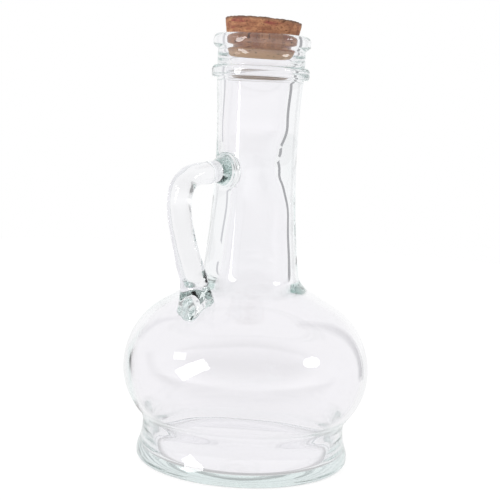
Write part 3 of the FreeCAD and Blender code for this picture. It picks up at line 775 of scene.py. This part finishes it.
def camera():
    """The camera at the photograph's place: a long lens, a little above the bulb, rolled."""
    turn = math.radians(VIEW_AZIMUTH)
    data = bpy.data.cameras.new("camera")
    data.sensor_width = SENSOR
    data.lens = data.sensor_width * FOCAL_PIXELS / IMAGE_PIXELS
    data.clip_start, data.clip_end = 0.01, 50.0
    made = bpy.data.objects.new("camera", data)
    yaw = turn + math.atan(AXIS_RIGHT_PIXELS / FOCAL_PIXELS)
    aim_down = math.radians(90 - CAMERA_PITCH)
    made.matrix_world = (
        Matrix.Translation(Vector((CAMERA_DISTANCE * math.sin(turn),
                                   -CAMERA_DISTANCE * math.cos(turn), CAMERA_HEIGHT)) * MM)
        @ Matrix.Rotation(yaw, 4, "Z") @ Matrix.Rotation(aim_down, 4, "X")
        @ Matrix.Rotation(math.radians(CAMERA_ROLL), 4, "Z"))
    bpy.context.scene.collection.objects.link(made)
    bpy.context.scene.camera = made


def around(azimuth, elevation, distance):
    """Where a stage piece stands, facing the bulb: degrees to the right of straight ahead and up as
    the camera sees it, and millimetres from the bottle's axis. Its own +Z points at the bottle."""
    turn = math.radians(VIEW_AZIMUTH - azimuth)
    up = math.radians(elevation)
    way = Vector((-math.sin(turn) * math.cos(up), math.cos(turn) * math.cos(up), math.sin(up)))
    spin = (-way).to_track_quat("Z", "Y").to_matrix().to_4x4()
    return Matrix.Translation((way * distance + Vector((0, 0, BULB[1]))) * MM) @ spin


def straight_through(tree):
    """One for what the camera sees straight or through glass with no reflection on the way, and
    zero for the rest. The light path's outputs come with it."""
    path = node(tree, "ShaderNodeLightPath").outputs
    clear = node(tree, "ShaderNodeMath", {0: path["Glossy Depth"], 1: 0.5}, operation="LESS_THAN")
    through = node(tree, "ShaderNodeMath", {0: path["Is Transmission Ray"], 1: clear.outputs[0]},
                   operation="MULTIPLY")
    seen = node(tree, "ShaderNodeMath", {0: path["Is Camera Ray"], 1: through.outputs[0]},
                operation="MAXIMUM")
    return seen.outputs[0], path


def floor():
    """White paper just under the glass. It keeps a soft shadow, has a painted contact shadow where
    the glass stands, and reflections show it dimmer in front of the bottle."""
    corners = [(*polar((0, 0), PAPER_RADIUS, 360 * i / PAPER_SIDES), -PAPER_GAP)
               for i in range(PAPER_SIDES)]
    made, tree = material("paper_sweep_white")
    seen, path = straight_through(tree)
    place = node(tree, "ShaderNodeTexCoord").outputs["Object"]

    ahead = node(tree, "ShaderNodeVectorMath", {0: place, 1: AHEAD}, operation="DOT_PRODUCT")
    levels = []
    for (near, far), most in ((PAPER_FADE, PAPER_MIRRORED), (FRONT_FADE, HORIZON_MIRRORED)):
        fade = node(tree, "ShaderNodeMapRange", {"Value": ahead.outputs["Value"]},
                    From_Min=near * MM, From_Max=far * MM, To_Min=FRONT_MIRRORED, To_Max=most)
        levels.append(fade.outputs[0])
    mirrored = node(tree, "ShaderNodeMath", {0: levels[0], 1: levels[1]}, operation="MAXIMUM")
    level = node(tree, "ShaderNodeMath", {0: seen, 1: mirrored.outputs[0]}, operation="MAXIMUM")

    # Painted contact shadow: a darker ring in the paper's glow around the middle of the base ring.
    rest_middle = (REST_INNER + FOOT_RADIUS - HEEL_EDGE) / 2 * MM
    reach = node(tree, "ShaderNodeVectorMath", {0: place}, operation="LENGTH").outputs["Value"]
    beyond = node(tree, "ShaderNodeMath", {0: reach, 1: rest_middle}, operation="SUBTRACT")
    aside = node(tree, "ShaderNodeMath", {0: beyond.outputs[0]}, operation="ABSOLUTE")
    painted_contact_shadow = node(tree, "ShaderNodeMapRange", {"Value": aside.outputs[0]},
                   From_Min=CONTACT_CORE * MM, From_Max=CONTACT_EDGE * MM,
                   To_Min=PAINTED_CONTACT_SHADE, To_Max=1.0)
    with_painted_shadow = node(tree, "ShaderNodeMath", {0: level.outputs[0], 1: painted_contact_shadow.outputs[0]},
                  operation="MULTIPLY")

    bright = node(tree, "ShaderNodeMath",
                  {0: path["Is Camera Ray"], 1: PAPER_LIFT, 2: with_painted_shadow.outputs[0]},
                  operation="MULTIPLY_ADD")
    glow = node(tree, "ShaderNodeEmission", {"Strength": bright.outputs[0]})
    lit = node(tree, "ShaderNodeBsdfDiffuse", Color=linear("#F4F4F4"))
    shown = node(tree, "ShaderNodeMath",
                 {0: path["Is Camera Ray"], 1: PAPER_GLOW, 2: path["Is Glossy Ray"]},
                 operation="MULTIPLY_ADD")
    paper = node(tree, "ShaderNodeMixShader",
                 {0: shown.outputs[0], 1: lit.outputs[0], 2: glow.outputs[0]})
    node(tree, "ShaderNodeOutputMaterial", {"Surface": paper.outputs[0]})
    piece("floor", corners, [tuple(range(PAPER_SIDES))], made)


def soft_box(name, outline, azimuth, elevation, distance, wide, tall, roll, brightness):
    """A flat soft box that lights the set and shows as a reflection in the glass, with its place as
    around() takes it, its width, height and roll, and its brightness against white."""
    light = bpy.data.lights.new(name, "AREA")
    light.shape, light.size, light.size_y = outline, wide * MM, tall * MM
    light.energy = brightness * math.pi * wide * tall * MM**2
    made = bpy.data.objects.new(name, light)
    made.matrix_world = (around(azimuth, elevation, distance) @ Matrix.Rotation(math.pi, 4, "Y")
                         @ Matrix.Rotation(math.radians(roll), 4, "Z"))
    made.visible_camera = made.visible_transmission = False
    bpy.context.scene.collection.objects.link(made)


def grey_card(name, azimuth, distance, wide, low, high, level):
    """An upright card beside the set that glows grey where reflections see it and lets all other
    rays through, so it draws a grey line along the edges of thick glass."""
    made, tree = material(name + "_reflected_glow")
    path = node(tree, "ShaderNodeLightPath").outputs
    mirrored = node(tree, "ShaderNodeMath", {0: path["Glossy Depth"], 1: 0.5},
                    operation="GREATER_THAN")
    clear = node(tree, "ShaderNodeBsdfTransparent")
    # The card's grey is a glow, and only reflected rays see it.
    grey = node(tree, "ShaderNodeEmission", Color=linear("#F2F2F6"), Strength=level)
    surface = node(tree, "ShaderNodeMixShader",
                   {0: mirrored.outputs[0], 1: clear.outputs[0], 2: grey.outputs[0]})
    node(tree, "ShaderNodeOutputMaterial", {"Surface": surface.outputs[0]})
    side, low, high = wide / 2, low - BULB[1], high - BULB[1]
    corners = [(-side, low, 0), (side, low, 0), (side, high, 0), (-side, high, 0)]
    card = piece(name, corners, [(0, 1, 2, 3)], made)
    card.data.transform(around(azimuth, 0, distance))
    card.visible_camera = card.visible_diffuse = card.visible_shadow = False


def world():
    """White around the set. On the camera's side reflections show a room instead, dim above and
    below and bright along the horizon."""
    made = bpy.data.worlds.new("studio")
    made.use_nodes = True
    tree = made.node_tree
    tree.nodes.clear()
    way = node(tree, "ShaderNodeTexCoord").outputs["Generated"]
    ahead = node(tree, "ShaderNodeVectorMath", {0: way, 1: AHEAD}, operation="DOT_PRODUCT")
    split = node(tree, "ShaderNodeSeparateXYZ", {0: way})
    up = node(tree, "ShaderNodeMath", {0: split.outputs["Z"]}, operation="ABSOLUTE")
    level = node(tree, "ShaderNodeMapRange", {"Value": up.outputs[0]}, From_Min=0.0,
                 From_Max=HORIZON_TALL, To_Min=HORIZON_MIRRORED, To_Max=ROOM_MIRRORED)
    room = node(tree, "ShaderNodeMapRange",
                {"Value": ahead.outputs["Value"], "To Min": level.outputs[0]},
                From_Min=ROOM_FADE[0], From_Max=ROOM_FADE[1], To_Max=1.0)
    seen, _ = straight_through(tree)
    shown = node(tree, "ShaderNodeMath", {0: seen, 1: room.outputs[0]}, operation="MAXIMUM")
    sky = node(tree, "ShaderNodeBackground", {"Color": shown.outputs[0]}, Strength=1.0)
    node(tree, "ShaderNodeOutputWorld", {"Surface": sky.outputs[0]})
    bpy.context.scene.world = made


# Pieces, their bodies and their material slots

glass = clear_glass()
bottle = welded(glass_body(glass), handle_rod(glass))
plug = cork_plug(cut_cork())
add_pores(plug, cork_pore())

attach(bottle, "bottle")
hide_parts("bottle_body", "handle")
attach(plug, "stopper")
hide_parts("cork_stopper")

# Stage, and enough bounces for light to find its way out of thick glass

camera()
floor()
world()
soft_box("soft_box_left", "RECTANGLE", -130, 14, 1500, 880, 380, 48, 8.5)
soft_box("soft_box_corner", "RECTANGLE", -112, 25, 1500, 330, 240, 20, 4.0)
soft_box("soft_box_right", "ELLIPSE", 112, 26, 1500, 480, 350, 0, 7.0)
grey_card("grey_card_right", 56, 260, 60, 0, 460, 0.4)
grey_card("grey_card_left", -56, 260, 40, 95, 460, 0.7)
bpy.context.scene.view_settings.view_transform = "Standard"
cycles = bpy.context.scene.cycles
cycles.max_bounces = cycles.transmission_bounces = cycles.glossy_bounces = LIGHT_BOUNCES
